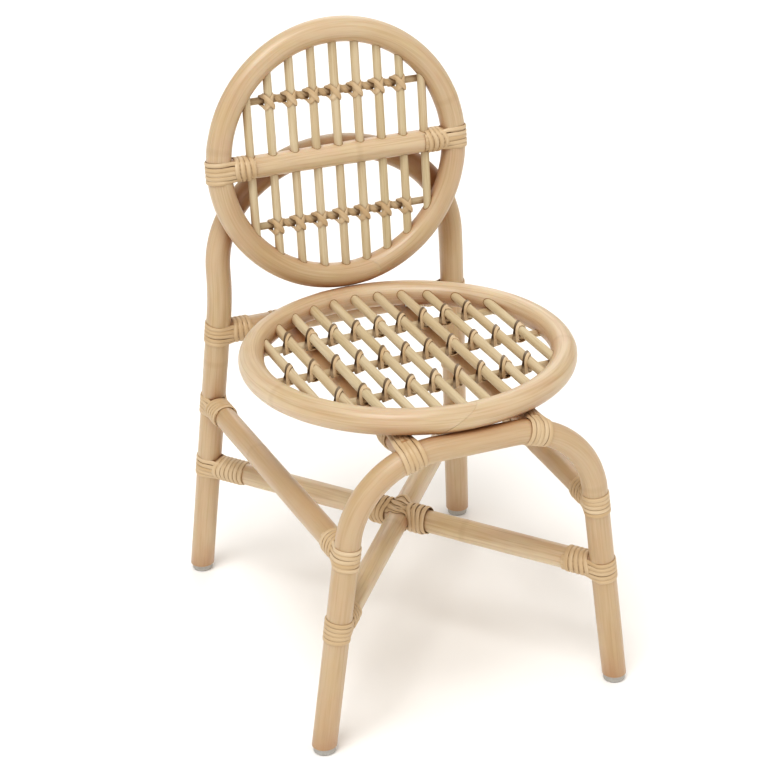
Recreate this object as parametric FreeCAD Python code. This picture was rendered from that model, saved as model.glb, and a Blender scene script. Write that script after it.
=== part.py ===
import FreeCAD, Part
import math
import os
from collections import namedtuple

# Child's rattan chair with a round seat and a round back, front towards -Y.
# Millimetres, +Z up. The origin is on the floor, in the middle of the chair's footprint.

Vec = FreeCAD.Vector
UP = Vec(0, 0, 1)
SIDES = {"left": -1, "right": 1}

# Pole sizes
POLE_D = 24.0            # both rings and the rear arch
FRONT_POLE_D = 23.0      # the front arch
RAIL_D = 22.0            # rails, stretchers and the back's crossbar
TOUCH_GAP = 0.3          # air left between two poles that touch
SCARF_GAP = 0.3          # saw line where a ring's two ends meet
SCARF_ANGLE = 32.0       # slant of that line to the pole
SCARF_TURN = 6.0         # degrees from a ring's lowest or foremost point to that line

# Seat
SEAT_Y = -36.0           # seat centre
SEAT_RING_R = 144.5      # to the pole's axis
SEAT_SLATS = 11
SEAT_SLAT_D = 8.8
SEAT_SLAT_EDGE = 29.5    # outermost slat's axis to the ring's, across the seat
SEAT_SLAT_RAISE = 2.0    # slat axis above the ring's
SEAT_ROD_D = 7.0
SEAT_ROD_EDGE = 77.5     # front and rear rods' axes to the ring's, before the shift
SEAT_ROD_SHIFT = 3.0     # all three rods behind that place

# Back
BACK_RING_R = 120.5
BACK_LEAN = 5.0          # degrees behind upright
BACK_ON_SEAT = 65.0      # where the back ring sits on the seat ring's rear, degrees above level
BACK_SLATS = 9
BACK_SLAT_D = 8.2
BACK_SLAT_EDGE = 31.5    # outermost slat's axis to the ring's, across the back
BACK_SLAT_AHEAD = 1.5    # slat axis ahead of the ring's
BACK_ROD_D = 7.0
BACK_ROD_EDGE = 59.5     # rods' axes to the ring's, up and down the back
TIE_SKIP = 1             # slats at each end of a row that carry no tie

# Slat and rod sockets
SOCKET_LAND = 3.0        # slat ends stop this short of the pole's axis
SOCKET_CLEAR = 0.2       # round the slat, and past its end
SLAT_ROD_GAP = 0.5       # slat to the rod that it crosses, more than two sockets' clearance

# Rear arch
REAR_FOOT_X = 146.0
REAR_FOOT_Y = 188.0
REAR_HALF_W = 122.5      # at the shoulders
REAR_RISE = 105.0        # shoulders to crown
REAR_CORNER_R = 95.0
REAR_CROWN_UP = 2.0      # crown above the crossbar's axis
REAR_KNEE_DROP = 25.0    # knee below the shoulders
REAR_KNEE_R = 180.0

# Front arch
FRONT_FOOT_X = 148.0
FRONT_FOOT_Y = -177.5
FRONT_TOP_OUT = 5.0      # top ahead of the seat ring's axis
FRONT_HALF_W = 110.0     # where the legs' lines meet the top's
FRONT_CORNER_R = 84.0

# Rails and stretchers
SEAT_RAIL_Z = 286.0
SEAT_RAIL_X = 60.0
REAR_RAIL_Z = 280.0
RAIL_BLUNT = 6.0         # a seat rail's end stops this short of the axis that it meets
SIDE_STRETCHER_Z = 199.0
CROSS_STRETCHER_Z = 127.0

# Foot glides
GLIDE_D = 20.5
GLIDE_H = 7.0
GLIDE_ROUND = 2.0
GLIDE_PEG_D = 6.0
GLIDE_PEG_L = 14.0
GLIDE_CLEAR = 0.15

# Peel lashings and ties
PEEL_D = 2.0
PEEL_CLEAR = 0.5         # peel to pole
STRAP_PASSES = 5         # to and fro round the pole that a rail meets
STRAP_STEP = 4.0         # one pass to the next
STRAP_TAIL = 1.5         # straight run past the pole's middle
COIL_TURNS = 4.0         # round the rail's end
LONG_COIL_TURNS = 7.0    # round the rear end of the split diagonal
COIL_STEP = 2.8
COIL_SETBACK = 3.0       # first turn beyond the pole that the rail meets
RING_SETBACK = 12.0      # first turn beyond the seat ring, where a rail carries it
CROSSING_PASSES = 3      # over the stretchers' crossing
CROSSING_STRAP = 10.0    # half length of those passes
TIE_D = 1.6
TIE_STEP = 2.4
TIE_TURNS = 1.25

# Wood screws and the dowel at the stretchers' crossing
SCREW_D = 3.5
SCREW_HEAD_D = 7.0
SCREW_HEAD_H = 2.6
SCREW_SINK = 0.8
SCREW_BITE = 20.0
SCREW_CLEAR = 0.15
RING_SCREW_LAND = 5.0    # screw point to the far side of a ring
RING_SCREW_OFF = 5.0     # seat ring's screws beside the rail's axis, clear of its end screws
DOWEL_D = 8.0
DOWEL_BITE = 22.0

POLE_R = POLE_D / 2
FRONT_POLE_R = FRONT_POLE_D / 2
RAIL_R = RAIL_D / 2
PEEL_R = PEEL_D / 2

# Seat ring lies on the rails
SEAT_Z = SEAT_RAIL_Z + RAIL_R + TOUCH_GAP + POLE_R
SEAT_CENTRE = Vec(0, SEAT_Y, SEAT_Z)

SEAT_SLAT_STEP = 2 * (SEAT_RING_R - SEAT_SLAT_EDGE) / (SEAT_SLATS - 1)
SEAT_ROD_STEP = SEAT_RING_R - SEAT_ROD_EDGE
BACK_SLAT_STEP = 2 * (BACK_RING_R - BACK_SLAT_EDGE) / (BACK_SLATS - 1)
BACK_ROD_OFF = BACK_RING_R - BACK_ROD_EDGE

# Back ring stands on the rear of the seat ring and leans
LEAN = math.radians(BACK_LEAN)
BACK_UP = Vec(0, math.sin(LEAN), math.cos(LEAN))
BACK_REAR = Vec(0, math.cos(LEAN), -math.sin(LEAN))
ON_SEAT = math.radians(BACK_ON_SEAT)
BACK_FOOT = (SEAT_CENTRE + Vec(0, SEAT_RING_R, 0)
             + Vec(0, math.cos(ON_SEAT), math.sin(ON_SEAT)) * (POLE_D + TOUCH_GAP))
BACK_CENTRE = BACK_FOOT + BACK_UP * BACK_RING_R

# Rear arch lies flat behind the back ring
ARCH_CENTRE = BACK_CENTRE + BACK_REAR * (POLE_D + TOUCH_GAP)
SHOULDER_UP = REAR_CROWN_UP - REAR_RISE
KNEE_UP = SHOULDER_UP - REAR_KNEE_DROP

# Front arch's top carries the front of the seat ring
FRONT_TOP_Y = SEAT_Y - SEAT_RING_R - FRONT_TOP_OUT
FRONT_TOP_DROP = math.sqrt((POLE_R + FRONT_POLE_R + TOUCH_GAP) ** 2 - FRONT_TOP_OUT ** 2)
FRONT_TOP_Z = SEAT_Z - FRONT_TOP_DROP


def unit(v):
    return v * (1.0 / v.Length)


def row(count, step):
    """Evenly spaced places about zero."""
    return [(i - (count - 1) / 2) * step for i in range(count)]


def line(a, b):
    return Part.LineSegment(a, b).toShape()


def arc(a, middle, b):
    return Part.Arc(a, middle, b).toShape()


def cylinder(start, end, diameter):
    run = end - start
    return Part.makeCylinder(diameter / 2, run.Length, start, run)


def tube(edges, diameter):
    """Round bar along a smooth chain of edges, which start where the first edge starts."""
    first = edges[0]
    start = first.valueAt(first.FirstParameter)
    tangent = first.tangentAt(first.FirstParameter)
    section = Part.Wire([Part.makeCircle(diameter / 2, start, tangent)])
    return Part.Wire(edges).makePipeShell([section], True, False)


def tangent_arc(a, corner, b):
    """Arc from a to b that leaves and arrives along the lines through the corner."""
    chord_middle = (a + b) * 0.5
    rise = corner - chord_middle
    half = (b - a).Length / 2
    sag = half * math.tan(math.atan2(rise.Length, half) / 2)
    return arc(a, chord_middle + unit(rise) * sag, b)


def rounded_corner(before, corner, after, radius):
    """Ends of the arc that rounds a corner, and the arc."""
    back = unit(before - corner)
    ahead = unit(after - corner)
    turn = math.pi - back.getAngle(ahead)
    reach = radius * math.tan(turn / 2)
    start = corner + back * reach
    end = corner + ahead * reach
    return start, end, tangent_arc(start, corner, end)


def biarc(p, p_way, q, q_way):
    """Two arcs that join p to q and keep both directions."""
    v = q - p
    both = v.dot(p_way + q_way)
    spread = 2 * (1 - p_way.dot(q_way))
    reach = (-both + math.sqrt(both * both + spread * v.dot(v))) / spread
    p_corner = p + p_way * reach
    q_corner = q - q_way * reach
    middle = (p_corner + q_corner) * 0.5
    return [tangent_arc(p, p_corner, middle), tangent_arc(middle, q_corner, q)]


def frame(origin, x_way, z_way):
    """Function that takes a point of a local frame, whose z axis is kept, into the chair."""
    z = unit(z_way)
    x = unit(x_way - z * x_way.dot(z))
    y = z.cross(x)
    return lambda p: origin + x * p.x + y * p.y + z * p.z


def coil_edges(place, radius, step, turns, diameter):
    """Helix about a frame's z axis in quarter turns, with straight ends one diameter long."""
    origin = place(Vec(0, 0, 0))

    def at(quarter):
        angle = quarter * math.pi / 2
        return place(Vec(radius * math.cos(angle), radius * math.sin(angle), step * quarter / 4))

    def way(quarter):
        angle = quarter * math.pi / 2
        run = Vec(-radius * math.sin(angle), radius * math.cos(angle), step / (2 * math.pi))
        return unit(place(run) - origin)

    last = round(turns * 4)
    edges = [line(at(0) - way(0) * diameter, at(0))]
    for quarter in range(last):
        edges += biarc(at(quarter), way(quarter), at(quarter + 1), way(quarter + 1))
    edges.append(line(at(last), at(last) + way(last) * diameter))
    return edges


def strap_edges(place, radius):
    """Peel that goes to and fro round a pole, whose axis is z, from a rail that leaves along x."""
    edges = []
    turn_r = STRAP_STEP / 2
    for k, z in enumerate(row(STRAP_PASSES, STRAP_STEP)):
        side = 1 if k % 2 == 0 else -1
        near = Vec(STRAP_TAIL, side * radius, z)
        start = Vec(0, side * radius, z)
        far = Vec(0, -side * radius, z)
        tail = Vec(STRAP_TAIL, -side * radius, z)
        edges.append(line(place(near), place(start)))
        edges.append(arc(place(start), place(Vec(-radius, 0, z)), place(far)))
        edges.append(line(place(far), place(tail)))
        if k < STRAP_PASSES - 1:
            over = tail + Vec(turn_r, 0, turn_r)
            edges.append(arc(place(tail), place(over), place(tail + Vec(0, 0, STRAP_STEP))))
    return edges


def over_strap_edges(place, height):
    """Peel that goes to and fro across the top of two poles that meet."""
    edges = []
    turn_r = STRAP_STEP / 2
    for k, y in enumerate(row(CROSSING_PASSES, STRAP_STEP)):
        side = 1 if k % 2 == 0 else -1
        start = Vec(-side * CROSSING_STRAP, y, height)
        end = Vec(side * CROSSING_STRAP, y, height)
        edges.append(line(place(start), place(end)))
        if k < CROSSING_PASSES - 1:
            over = end + Vec(side * turn_r, turn_r, 0)
            edges.append(arc(place(end), place(over), place(end + Vec(0, STRAP_STEP, 0))))
    return edges


def self_gap(edges, diameter):
    """Least air between the turns of one tube, on points that lie two diameters apart along it."""
    wire = Part.Wire(edges)
    per_diameter = 4
    count = int(wire.Length / diameter * per_diameter)
    points = wire.discretize(Number=count)
    far = 2 * per_diameter
    return min((p - q).Length for i, p in enumerate(points) for q in points[i + far:]) - diameter


def tightest_bend(edges, diameter):
    """Least arc radius of a path, in diameters of its tube."""
    radii = [e.Curve.Radius for e in edges if isinstance(e.Curve, Part.Circle)]
    return min(radii) / diameter


parts = {}
lashings = {}


def add_lashing(node, name, edges, diameter):
    lashings.setdefault(node, []).append((name, edges, diameter))


# Lines of the legs

def rear_foot(side):
    return Vec(side * REAR_FOOT_X, REAR_FOOT_Y, 0)


def rear_knee(side):
    return ARCH_CENTRE + Vec(side * REAR_HALF_W, 0, 0) + BACK_UP * KNEE_UP


def front_foot(side):
    return Vec(side * FRONT_FOOT_X, FRONT_FOOT_Y, 0)


def front_corner(side):
    return Vec(side * FRONT_HALF_W, FRONT_TOP_Y, FRONT_TOP_Z)


def at_height(low, high, z):
    return low + (high - low) * ((z - low.z) / (high.z - low.z))


def rear_leg_at(side, z):
    return at_height(rear_foot(side), rear_knee(side), z)


def front_leg_at(side, z):
    return at_height(front_foot(side), front_corner(side), z)


def rear_leg_way(side):
    return rear_knee(side) - rear_foot(side)


def front_leg_way(side):
    return front_corner(side) - front_foot(side)


def front_top_at(x):
    """Point of the front arch's axis over x, on its top or shoulders, and its direction there."""
    down = unit(front_foot(1) + front_foot(-1) - front_corner(1) - front_corner(-1))
    turn = math.pi - front_leg_way(1).getAngle(Vec(1, 0, 0))
    straight = FRONT_HALF_W - FRONT_CORNER_R * math.tan(turn / 2)
    past = max(0.0, abs(x) - straight)
    angle = math.asin(past / FRONT_CORNER_R)
    drop = FRONT_CORNER_R * (1 - math.cos(angle))
    way = Vec(math.cos(angle), 0, 0) + down * math.copysign(math.sin(angle), x)
    return Vec(x, FRONT_TOP_Y, FRONT_TOP_Z) + down * drop, way


def rear_arch_path():
    """Leg, knee and shoulder up one side, a crown of larger radius, and down again."""
    side_run = REAR_HALF_W - REAR_CORNER_R
    crown_r = ((side_run ** 2 + REAR_RISE ** 2 - REAR_CORNER_R ** 2)
               / (2 * (REAR_RISE - REAR_CORNER_R)))
    join = math.atan2(crown_r - REAR_RISE, side_run)

    def on_plane(x, up):
        return ARCH_CENTRE + Vec(x, 0, 0) + BACK_UP * up

    def corner_point(side, angle):
        x = side_run + REAR_CORNER_R * math.cos(angle)
        return on_plane(side * x, SHOULDER_UP + REAR_CORNER_R * math.sin(angle))

    halves = []
    for side in SIDES.values():
        foot = rear_foot(side)
        shoulder = on_plane(side * REAR_HALF_W, SHOULDER_UP)
        low, high, knee = rounded_corner(foot, rear_knee(side), shoulder, REAR_KNEE_R)
        bend = arc(shoulder, corner_point(side, join / 2), corner_point(side, join))
        halves.append([line(foot, low), knee, line(high, shoulder), bend])
    crown = arc(corner_point(-1, join), on_plane(0, REAR_CROWN_UP), corner_point(1, join))
    return halves[0] + [crown] + [edge.reversed() for edge in reversed(halves[1])]


def front_arch_path():
    left_foot, right_foot = front_foot(-1), front_foot(1)
    left, right = front_corner(-1), front_corner(1)
    rise_end, top_start, left_bend = rounded_corner(left_foot, left, right, FRONT_CORNER_R)
    top_end, fall_start, right_bend = rounded_corner(left, right, right_foot, FRONT_CORNER_R)
    return [line(left_foot, rise_end), left_bend, line(top_start, top_end), right_bend,
            line(fall_start, right_foot)]


def sleeve(shape_path, diameter):
    """What a butting rail is cut back by, so that its end hugs the pole."""
    return tube(shape_path, diameter + 2 * TOUCH_GAP)


def below(z):
    size = 4 * REAR_FOOT_Y
    return Part.makeBox(size, size, size, Vec(-size / 2, -size / 2, z - size))


def screw(start, way, length, clear=0.0):
    """Countersunk screw whose head top is at start, or its bore when clear is given."""
    way = unit(way)
    neck = start + way * SCREW_HEAD_H
    head = Part.makeCone(SCREW_HEAD_D / 2 + clear, SCREW_D / 2 + clear, SCREW_HEAD_H, start, way)
    shank = cylinder(neck, start + way * (length + clear), SCREW_D + 2 * clear)
    bar = head.fuse(shank)
    if clear:
        bar = bar.fuse(cylinder(start - way * SCREW_HEAD_D, start, SCREW_HEAD_D + 2 * clear))
    return bar


screws = []
bores = {}


def add_screw(start, way, length, nodes):
    screws.append(screw(start, way, length))
    for node in nodes:
        bores.setdefault(node, []).append(screw(start, way, length, SCREW_CLEAR))


# A rail that butts on a pole: where on the pole's axis, and where and which way the rail's starts
Butt = namedtuple("Butt", "pole pole_r pole_at pole_way rail rail_end rail_way")


def fasten(butt, node, turns=COIL_TURNS, setback=None):
    """Screw, strap round the pole and coil round the rail of one butt joint."""
    way = unit(butt.rail_way)
    off_axis = (butt.rail_end - butt.pole_at).Length
    skin = math.sqrt(butt.pole_r ** 2 - off_axis ** 2)
    head = butt.rail_end - way * (skin - SCREW_SINK)
    add_screw(head, way, skin + butt.pole_r + SCREW_BITE, (butt.pole, butt.rail))
    place = frame(butt.pole_at, way, butt.pole_way)
    strap = strap_edges(place, butt.pole_r + PEEL_CLEAR + PEEL_R)
    add_lashing(node, "strap", strap, PEEL_D)
    first = butt.pole_r + COIL_SETBACK if setback is None else setback
    rail_coil(butt.rail_end + way * first, way, butt.pole_way, node, turns)


def rail_coil(start, rail_way, side_way, node, turns=COIL_TURNS):
    """Turns of peel round a rail."""
    place = frame(start, side_way, rail_way)
    coil = coil_edges(place, RAIL_R + PEEL_CLEAR + PEEL_R, COIL_STEP, turns, PEEL_D)
    add_lashing(node, "coil", coil, PEEL_D)


# Poles

def ring(centre, axis, radius, out):
    """Pole bent to a ring, its two ends cut on a slant and butted on the side that out points to."""
    body = Part.makeTorus(radius, POLE_R, centre, axis)
    scarf_at = centre + out * radius
    along = axis.cross(out)
    slant = math.radians(SCARF_ANGLE)
    cut_way = along * math.cos(slant) + axis * math.sin(slant)
    thin = axis * math.cos(slant) - along * math.sin(slant)
    length = 2 * POLE_D / math.sin(slant)
    corner = scarf_at - cut_way * (length / 2) - out * POLE_D - thin * (SCARF_GAP / 2)
    sheet = Part.Face(Part.makePolygon([corner, corner + cut_way * length,
                                        corner + cut_way * length + out * (2 * POLE_D),
                                        corner + out * (2 * POLE_D), corner]))
    return body.cut(sheet.extrude(thin * SCARF_GAP))


def make_poles():
    rear_path = rear_arch_path()
    front_path = front_arch_path()
    rear_sleeve = sleeve(rear_path, POLE_D)
    front_sleeve = sleeve(front_path, FRONT_POLE_D)
    back_sleeve = Part.makeTorus(BACK_RING_R, POLE_R + TOUCH_GAP, BACK_CENTRE, BACK_REAR)
    parts["rear_arch"] = tube(rear_path, POLE_D).cut(below(GLIDE_H))
    parts["front_arch"] = tube(front_path, FRONT_POLE_D).cut(below(GLIDE_H))
    turn = math.radians(SCARF_TURN)
    lowest = Vec(math.sin(turn), 0, 0) - BACK_UP * math.cos(turn)
    foremost = Vec(-math.sin(turn), -math.cos(turn), 0)
    parts["back_ring"] = ring(BACK_CENTRE, BACK_REAR, BACK_RING_R, lowest)
    parts["seat_ring"] = ring(SEAT_CENTRE, UP, SEAT_RING_R, foremost)

    reach = Vec(BACK_RING_R, 0, 0)
    bar = cylinder(BACK_CENTRE - reach, BACK_CENTRE + reach, RAIL_D)
    parts["back_crossbar"] = bar.cut(back_sleeve)
    for side in SIDES.values():
        end = BACK_CENTRE + reach * side
        fasten(Butt("back_ring", POLE_R, end, BACK_UP, "back_crossbar", end, reach * -side),
               "crossbar_lashings")

    # The rear rail joins the rear legs, and the seat rails join it to the front arch
    rear_ends = [rear_leg_at(side, REAR_RAIL_Z) for side in (-1, 1)]
    parts["rear_seat_rail"] = cylinder(rear_ends[0], rear_ends[1], RAIL_D).cut(rear_sleeve)
    for side, end in zip((-1, 1), rear_ends):
        fasten(Butt("rear_arch", POLE_R, end, rear_leg_way(side), "rear_seat_rail", end,
                    Vec(-side, 0, 0)), "rear_rail_lashings")
    rear_rail_sleeve = cylinder(rear_ends[0], rear_ends[1], RAIL_D + 2 * TOUCH_GAP)
    ring_front = SEAT_Y - math.sqrt(SEAT_RING_R ** 2 - SEAT_RAIL_X ** 2)
    for name, side in SIDES.items():
        node = name + "_seat_rail"
        front = Vec(side * SEAT_RAIL_X, FRONT_TOP_Y, SEAT_RAIL_Z)
        rear = Vec(side * SEAT_RAIL_X, rear_ends[0].y, SEAT_RAIL_Z)
        blunt = Vec(0, RAIL_BLUNT, 0)
        rail = cylinder(front + blunt, rear - blunt, RAIL_D)
        parts[node] = rail.cut(front_sleeve).cut(rear_rail_sleeve)
        top, top_way = front_top_at(side * SEAT_RAIL_X)
        fasten(Butt("front_arch", FRONT_POLE_R, top, top_way, node, front, rear - front),
               "seat_rail_lashings", setback=ring_front + RING_SETBACK - FRONT_TOP_Y)
        fasten(Butt("rear_seat_rail", RAIL_R, Vec(rear.x, rear.y, REAR_RAIL_Z), Vec(1, 0, 0),
                    node, rear, front - rear), "seat_rail_lashings")

    # The side stretchers join front and rear legs
    for name, side in SIDES.items():
        node = name + "_side_stretcher"
        rear = rear_leg_at(side, SIDE_STRETCHER_Z)
        front = front_leg_at(side, SIDE_STRETCHER_Z)
        parts[node] = cylinder(rear, front, RAIL_D).cut(rear_sleeve).cut(front_sleeve)
        fasten(Butt("rear_arch", POLE_R, rear, rear_leg_way(side), node, rear, front - rear),
               "side_stretcher_lashings")
        fasten(Butt("front_arch", FRONT_POLE_R, front, front_leg_way(side), node, front,
                    rear - front), "side_stretcher_lashings")

    # One whole diagonal, and two halves that butt against it
    whole = [front_leg_at(-1, CROSS_STRETCHER_Z), rear_leg_at(1, CROSS_STRETCHER_Z)]
    split = [rear_leg_at(-1, CROSS_STRETCHER_Z), front_leg_at(1, CROSS_STRETCHER_Z)]
    share = split[0].x / (split[0].x - split[1].x)
    middle = split[0] + (split[1] - split[0]) * share
    node = "cross_stretcher_lashings"
    body = cylinder(whole[0], whole[1], RAIL_D)
    parts["cross_stretcher"] = body.cut(rear_sleeve).cut(front_sleeve)
    whole_sleeve = cylinder(whole[0], whole[1], RAIL_D + 2 * TOUCH_GAP)
    whole_run = whole[1] - whole[0]
    ends = [("rear_cross_half", "rear_arch", POLE_R, split[0], rear_leg_way(-1),
             LONG_COIL_TURNS),
            ("front_cross_half", "front_arch", FRONT_POLE_R, split[1], front_leg_way(1),
             COIL_TURNS)]
    for half, pole, pole_r, leg, leg_way, turns in ends:
        bar = cylinder(leg, middle, RAIL_D)
        parts[half] = bar.cut(rear_sleeve).cut(front_sleeve).cut(whole_sleeve)
        fasten(Butt(pole, pole_r, leg, leg_way, half, leg, middle - leg), node, turns)
        out = unit(leg - middle)
        rail_coil(middle + out * (RAIL_R + COIL_SETBACK), out, UP, node)
    fasten(Butt("front_arch", FRONT_POLE_R, whole[0], front_leg_way(-1), "cross_stretcher",
                whole[0], whole_run), node)
    fasten(Butt("rear_arch", POLE_R, whole[1], rear_leg_way(1), "cross_stretcher",
                whole[1], whole_run * -1), node)
    over = frame(middle, split[1] - split[0], UP)
    add_lashing(node, "strap", over_strap_edges(over, RAIL_R + PEEL_CLEAR + PEEL_R), PEEL_D)

    half_way = unit(split[1] - split[0])
    reach = half_way * (RAIL_R + DOWEL_BITE)
    parts["cross_dowel"] = cylinder(middle - reach, middle + reach, DOWEL_D)
    longer = reach + half_way * SOCKET_CLEAR
    bore = cylinder(middle - longer, middle + longer, DOWEL_D + 2 * SOCKET_CLEAR)
    for half in ("cross_stretcher", "rear_cross_half", "front_cross_half"):
        bores.setdefault(half, []).append(bore)


def fix_rings():
    """Screws that hold the seat ring on its rails and the back ring on the rear arch."""
    screw_x = SEAT_RAIL_X - RING_SCREW_OFF
    across = math.sqrt(SEAT_RING_R ** 2 - screw_x ** 2)
    rail_depth = math.sqrt(RAIL_R ** 2 - (RING_SCREW_OFF + SCREW_HEAD_D / 2) ** 2)
    for name, side in SIDES.items():
        for end in (-1, 1):
            under = Vec(side * screw_x, SEAT_Y + end * across, SEAT_RAIL_Z - rail_depth + SCREW_SINK)
            length = SEAT_Z + POLE_R - RING_SCREW_LAND - under.z
            add_screw(under, UP, length, (name + "_seat_rail", "seat_ring"))
        x, up = ring_crosses_arch()
        behind = (ARCH_CENTRE + Vec(side * x, 0, 0) + BACK_UP * up
                  + BACK_REAR * (POLE_R - SCREW_SINK))
        length = 2 * POLE_D + TOUCH_GAP - SCREW_SINK - RING_SCREW_LAND
        add_screw(behind, BACK_REAR * -1, length, ("rear_arch", "back_ring"))


def ring_crosses_arch():
    """Place, in the back's plane, where the ring's axis crosses the arch's shoulder bend."""
    centre_x = REAR_HALF_W - REAR_CORNER_R
    span = math.hypot(centre_x, SHOULDER_UP)
    along = (BACK_RING_R ** 2 - REAR_CORNER_R ** 2 + span ** 2) / (2 * span)
    off = math.sqrt(BACK_RING_R ** 2 - along ** 2)
    to_x = centre_x / span
    to_up = SHOULDER_UP / span
    return along * to_x - off * to_up, along * to_up + off * to_x


# Slats, rods and their sockets

def socketed_bar(name, start, end, diameter, nodes):
    """Round bar with both ends let into poles."""
    way = unit(end - start)
    parts[name] = cylinder(start, end, diameter)
    hole = cylinder(start - way * SOCKET_CLEAR, end + way * SOCKET_CLEAR,
                    diameter + 2 * SOCKET_CLEAR)
    for node in nodes:
        bores.setdefault(node, []).append(hole)


def chord(radius, off):
    """Half length of a bar that crosses a ring off its centre and stops short of its axis."""
    return math.sqrt((radius - SOCKET_LAND) ** 2 - off ** 2)


def make_seat_slats():
    slat_z = SEAT_Z + SEAT_SLAT_RAISE
    rod_z = slat_z - (SEAT_SLAT_D + SEAT_ROD_D) / 2 - SLAT_ROD_GAP
    slats = row(SEAT_SLATS, SEAT_SLAT_STEP)
    for i, x in enumerate(slats):
        half = chord(SEAT_RING_R, x)
        socketed_bar("seat_slat_%d" % (i + 1), Vec(x, SEAT_Y - half, slat_z),
                     Vec(x, SEAT_Y + half, slat_z), SEAT_SLAT_D, ("seat_ring",))
    rods = {"front": -1, "middle": 0, "rear": 1}
    for name, place in rods.items():
        off = SEAT_ROD_SHIFT + place * SEAT_ROD_STEP
        half = chord(SEAT_RING_R, off)
        socketed_bar(name + "_seat_rod", Vec(-half, SEAT_Y + off, rod_z),
                     Vec(half, SEAT_Y + off, rod_z), SEAT_ROD_D, ("seat_ring",))
        skip = TIE_SKIP if place else 0
        for x in slats[skip:SEAT_SLATS - skip]:
            middle = Vec(x, SEAT_Y + off, slat_z - SEAT_SLAT_D / 2 - SLAT_ROD_GAP / 2)
            tie("seat_slat_ties", middle, Vec(0, 1, 0), Vec(1, 0, 0), UP, SEAT_SLAT_D, SEAT_ROD_D)


def make_back_slats():
    slats = row(BACK_SLATS, BACK_SLAT_STEP)
    slat_centre = BACK_CENTRE - BACK_REAR * BACK_SLAT_AHEAD
    behind = (BACK_SLAT_D + BACK_ROD_D) / 2 + SLAT_ROD_GAP
    for word, up in (("upper", 1), ("lower", -1)):
        for i, x in enumerate(slats):
            foot = slat_centre + Vec(x, 0, 0) + BACK_UP * (up * SOCKET_LAND)
            tip = slat_centre + Vec(x, 0, 0) + BACK_UP * (up * chord(BACK_RING_R, x))
            socketed_bar("%s_back_slat_%d" % (word, i + 1), foot, tip, BACK_SLAT_D,
                         ("back_ring", "back_crossbar"))
        half = chord(BACK_RING_R, BACK_ROD_OFF)
        middle = slat_centre + BACK_UP * (up * BACK_ROD_OFF) + BACK_REAR * behind
        socketed_bar(word + "_back_rod", middle - Vec(half, 0, 0), middle + Vec(half, 0, 0),
                     BACK_ROD_D, ("back_ring",))
        for x in slats[TIE_SKIP:BACK_SLATS - TIE_SKIP]:
            cross = middle + Vec(x, 0, 0) - BACK_REAR * ((BACK_ROD_D + SLAT_ROD_GAP) / 2)
            tie("back_slat_ties", cross, BACK_UP, Vec(1, 0, 0), BACK_REAR * -1,
                BACK_SLAT_D, BACK_ROD_D)


def tie(node, middle, slat_way, rod_way, face_way, slat_d, rod_d):
    """Peel loop on the diagonal of a crossing, over the slat and under the rod."""
    lean_out = TIE_STEP * TIE_TURNS / 2
    widest = max(slat_d, rod_d) / 2
    corner = widest + lean_out
    height = widest + widest * math.sqrt(0.5)
    radius = math.hypot(corner, height) + PEEL_CLEAR + TIE_D / 2
    axis = slat_way - rod_way
    place = frame(middle - unit(axis) * lean_out, face_way * -1, axis)
    add_lashing(node, "tie", coil_edges(place, radius, TIE_STEP, TIE_TURNS, TIE_D), TIE_D)


# Feet

def make_glides():
    legs = {"front": (front_leg_at, "front_arch"), "rear": (rear_leg_at, "rear_arch")}
    for end, (leg_at, pole) in legs.items():
        for name, side in SIDES.items():
            top = leg_at(side, GLIDE_H)
            foot = Vec(top.x, top.y, 0)
            cap = Part.makeCylinder(GLIDE_D / 2, GLIDE_H, foot)
            rim = [e for e in cap.Edges if e.BoundBox.ZMax < GLIDE_ROUND]
            cap = cap.makeFillet(GLIDE_ROUND, rim)
            peg = Part.makeCylinder(GLIDE_PEG_D / 2, GLIDE_PEG_L, top)
            parts["%s_%s_foot_glide" % (end, name)] = cap.fuse(peg).removeSplitter()
            hole = Part.makeCylinder(GLIDE_PEG_D / 2 + GLIDE_CLEAR, GLIDE_PEG_L + GLIDE_CLEAR, top)
            bores.setdefault(pole, []).append(hole)


def make_lashings():
    """Wind every lashing and tie, and print the least gap and tightest bend of each kind."""
    measured = set()
    for node, windings in lashings.items():
        solids = []
        for name, edges, diameter in windings:
            solids.append(tube(edges, diameter))
            kind = (node, name, len(edges))
            if kind not in measured:
                measured.add(kind)
                print("%s %s: gap to itself %.2f mm, tightest bend %.2f diameters"
                      % (node, name, self_gap(edges, diameter), tightest_bend(edges, diameter)))
        parts[node] = Part.makeCompound(solids)


make_poles()
fix_rings()
make_seat_slats()
make_back_slats()
make_glides()
make_lashings()
parts["joint_screws"] = Part.makeCompound(screws)
for node, tools in bores.items():
    parts[node] = parts[node].cut(tools)

os.makedirs("parts", exist_ok=True)
for node, shape in parts.items():
    shape.exportStep("parts/%s.step" % node)
print("%d nodes" % len(parts))
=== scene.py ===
import math
import random

import bpy
from mathutils import Matrix, Vector
from mathutils.bvhtree import BVHTree


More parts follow.
